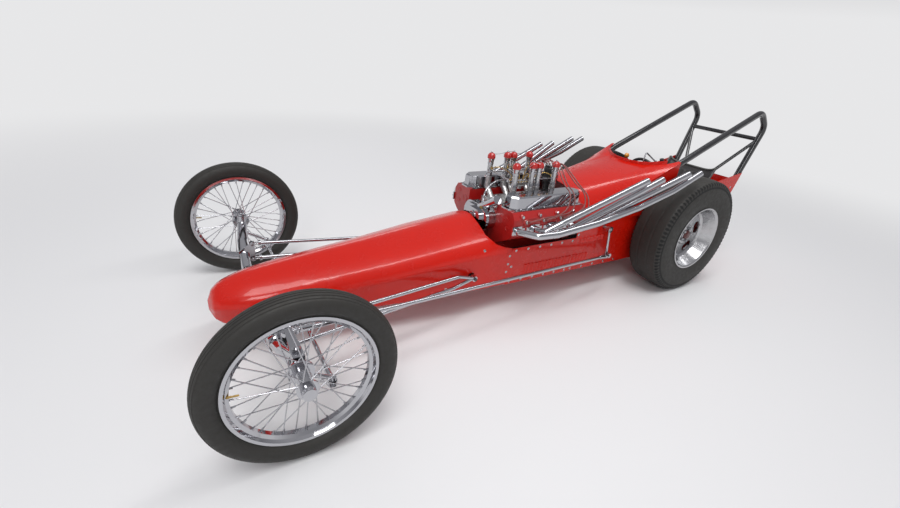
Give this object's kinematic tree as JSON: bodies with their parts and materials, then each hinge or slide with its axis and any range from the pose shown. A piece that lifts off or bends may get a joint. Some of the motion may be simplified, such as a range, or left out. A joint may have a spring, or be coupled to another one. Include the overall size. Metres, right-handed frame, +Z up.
{
  "type": "front-engined dragster",
  "caption": "Slingshot drag racing car: open V8 with swept exhaust pipes, wire front wheels, rear slicks, twin roll hoops and steering linkage that moves.",
  "frame": {"origin": "on the floor, below the middle of the bounding box", "axes": "+X forward, +Y the driver's left, +Z up"},
  "size_m": [3.6543, 1.606, 1.1209],
  "materials": {
    "body_red": "gloss red enamel",
    "frame_black": "gloss black paint",
    "engine_red": "red engine enamel",
    "chrome": "bright chrome plate",
    "polished": "polished aluminium",
    "cast_alloy": "sand-cast aluminium",
    "steel": "machined steel",
    "tyre_black": "worn black tyre rubber",
    "seat_black": "black padded trim",
    "cap_red": "red caps",
    "black_plastic": "black moulded cap"
  },
  "bodies": {
    "chassis": {"front_axle": "chrome", "hairpin_left": "chrome", "hairpin_right": "chrome", "frame_sides": "frame_black", "cross_tubes": "frame_black", "roll_hoops": "frame_black", "nose_cowl": "body_red", "side_panel_left": "body_red", "side_panel_right": "body_red", "cockpit_side_left": "body_red", "cockpit_side_right": "body_red", "belly_pan": "body_red", "scuttle": "body_red", "engine_block": "engine_red", "oil_pan": "polished", "cylinder_heads": "engine_red", "valve_covers": "chrome", "intake_manifold": "cast_alloy", "injector_stacks": "polished", "stack_caps": "cap_red", "timing_cover": "chrome", "magneto": "black_plastic", "headers_left": "chrome", "headers_right": "chrome", "bell_housing": "cast_alloy", "axle_housing": "frame_black", "fire_wall": "cast_alloy", "seat": "seat_black", "steering_box": "cast_alloy", "brake_lever": "chrome"},
    "knuckle_left": {"knuckle_left": "chrome"},
    "knuckle_right": {"knuckle_right": "chrome"},
    "tie_rod": {"tie_rod": "chrome"},
    "pitman_arm": {"pitman_arm": "chrome"},
    "drag_link": {"drag_link": "chrome"},
    "front_wheel_left": {"wire_wheel_left": "chrome", "tyre_front_left": "tyre_black"},
    "front_wheel_right": {"wire_wheel_right": "chrome", "tyre_front_right": "tyre_black"},
    "rear_axle": {"axle_shaft": "steel", "wheel_rear_left": "polished", "wheel_rear_right": "polished", "tyre_rear_left": "tyre_black", "tyre_rear_right": "tyre_black"},
    "steering_wheel": {"steering_wheel": "seat_black"}
  },
  "joints": [
    {"name": "left_steer", "type": "hinge", "parent": "chassis", "child": "knuckle_left", "pos_m": [1.50928, 0.632, 0.318], "axis": [0, 0, 1], "range_deg": [-15, 15]},
    {"name": "right_steer", "type": "hinge", "parent": "chassis", "child": "knuckle_right", "pos_m": [1.50928, -0.632, 0.318], "axis": [0, 0, 1], "range_deg": [-15, 15]},
    {"name": "tie_rod_pivot", "type": "hinge", "parent": "knuckle_left", "child": "tie_rod", "pos_m": [1.39128, 0.632, 0.186], "axis": [0, 0, 1], "range_deg": [-15, 15]},
    {"name": "pitman_swing", "type": "hinge", "parent": "chassis", "child": "pitman_arm", "pos_m": [-0.37572, 0.292, 0.426], "axis": [0, 1, 0], "range_deg": [-12.5, 12.5]},
    {"name": "drag_link_pivot", "type": "hinge", "parent": "pitman_arm", "child": "drag_link", "pos_m": [-0.40572, 0.312, 0.258], "axis": [0, 1, 0], "range_deg": [-12.5, 12.5]},
    {"name": "steering_wheel_turn", "type": "hinge", "parent": "chassis", "child": "steering_wheel", "pos_m": [-0.97072, 0, 0.64], "axis": [-0.9305, 0, 0.3663], "range_deg": [-90, 90]},
    {"name": "front_left_spin", "type": "hinge", "parent": "knuckle_left", "child": "front_wheel_left", "pos_m": [1.50928, 0.722, 0.318], "axis": [0, 1, 0], "continuous": true},
    {"name": "front_right_spin", "type": "hinge", "parent": "knuckle_right", "child": "front_wheel_right", "pos_m": [1.50928, -0.722, 0.318], "axis": [0, 1, 0], "continuous": true},
    {"name": "rear_axle_spin", "type": "hinge", "parent": "chassis", "child": "rear_axle", "pos_m": [-0.97072, 0, 0.369], "axis": [0, 1, 0], "continuous": true}
  ],
  "couplings": [
    {"joint": "right_steer", "follows": "left_steer", "ratio": 1},
    {"joint": "tie_rod_pivot", "follows": "left_steer", "ratio": -1},
    {"joint": "pitman_swing", "follows": "left_steer", "ratio": -0.8136},
    {"joint": "drag_link_pivot", "follows": "left_steer", "ratio": 0.8009},
    {"joint": "steering_wheel_turn", "follows": "left_steer", "ratio": 6}
  ]
}
